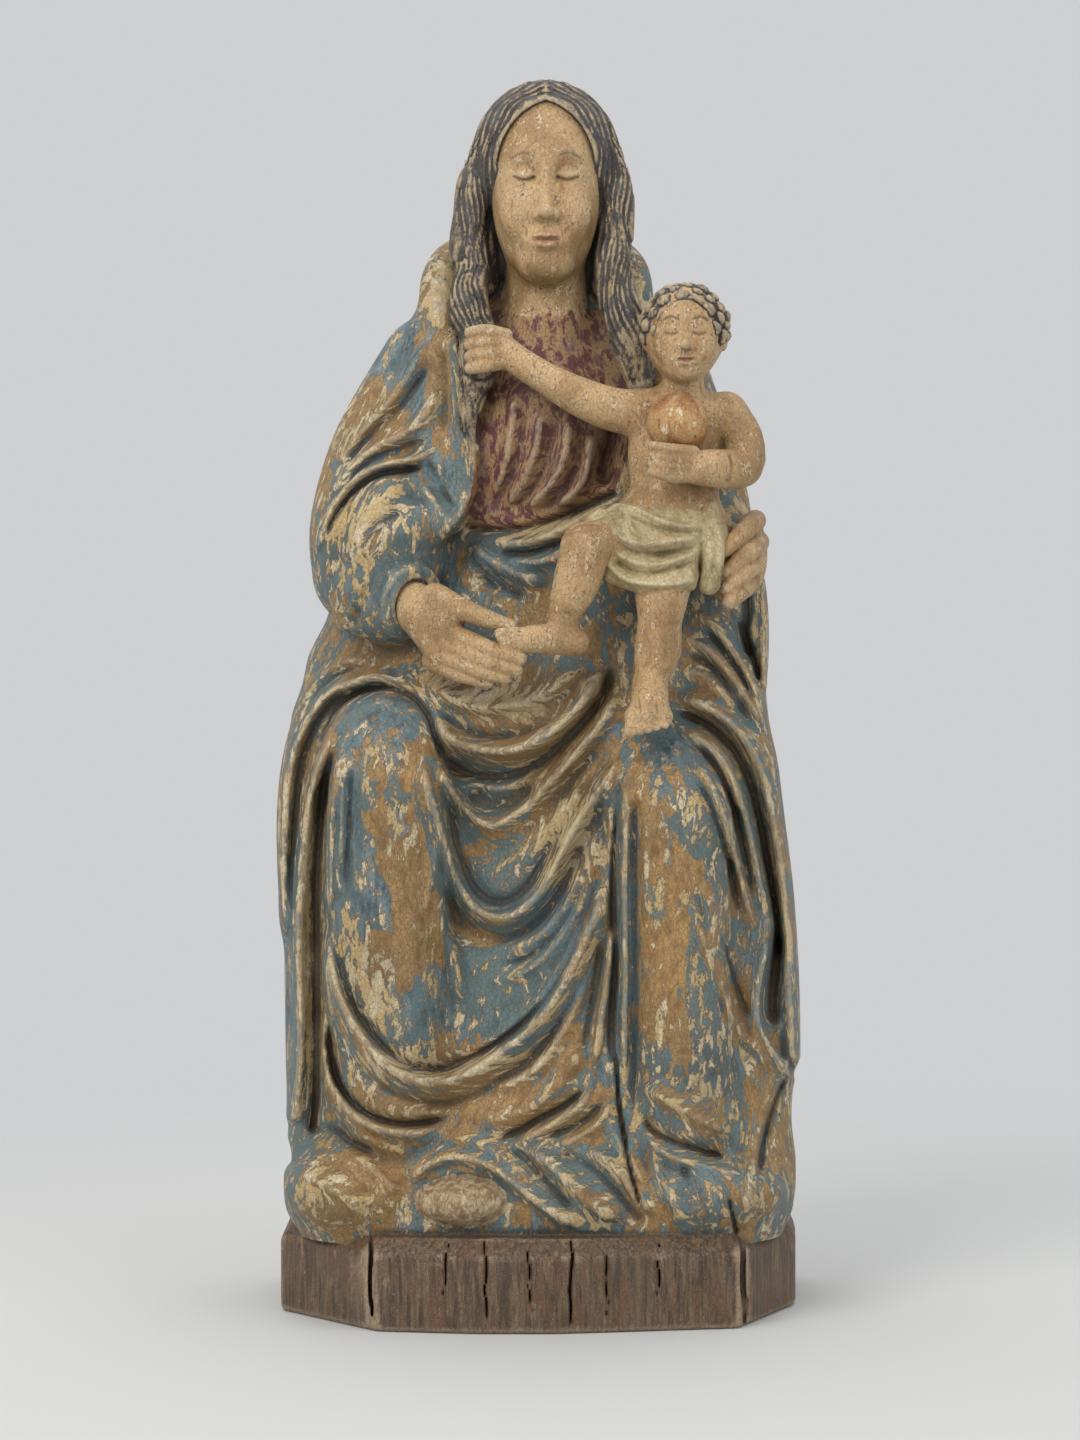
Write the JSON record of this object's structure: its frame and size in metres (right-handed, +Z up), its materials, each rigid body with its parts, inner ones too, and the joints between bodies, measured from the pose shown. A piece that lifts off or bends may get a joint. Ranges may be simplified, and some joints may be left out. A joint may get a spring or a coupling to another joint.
{
  "type": "madonna and child statue",
  "caption": "Antique carved wooden figure of a seated Madonna holding the Child on her knee, standing on an integral low plinth, with worn polychrome paint.",
  "frame": {"origin": "middle of the plinth's underside", "axes": "+Z up, +X towards the side where the Child sits (the right in a front view), -Y the way that the figures face"},
  "size_m": [0.327, 0.2026, 0.7605],
  "materials": {
    "polychrome_wood": "worn paint and gesso over carved wood"
  },
  "bodies": {
    "root": {"madonna_and_child": "polychrome_wood"}
  },
  "joints": []
}
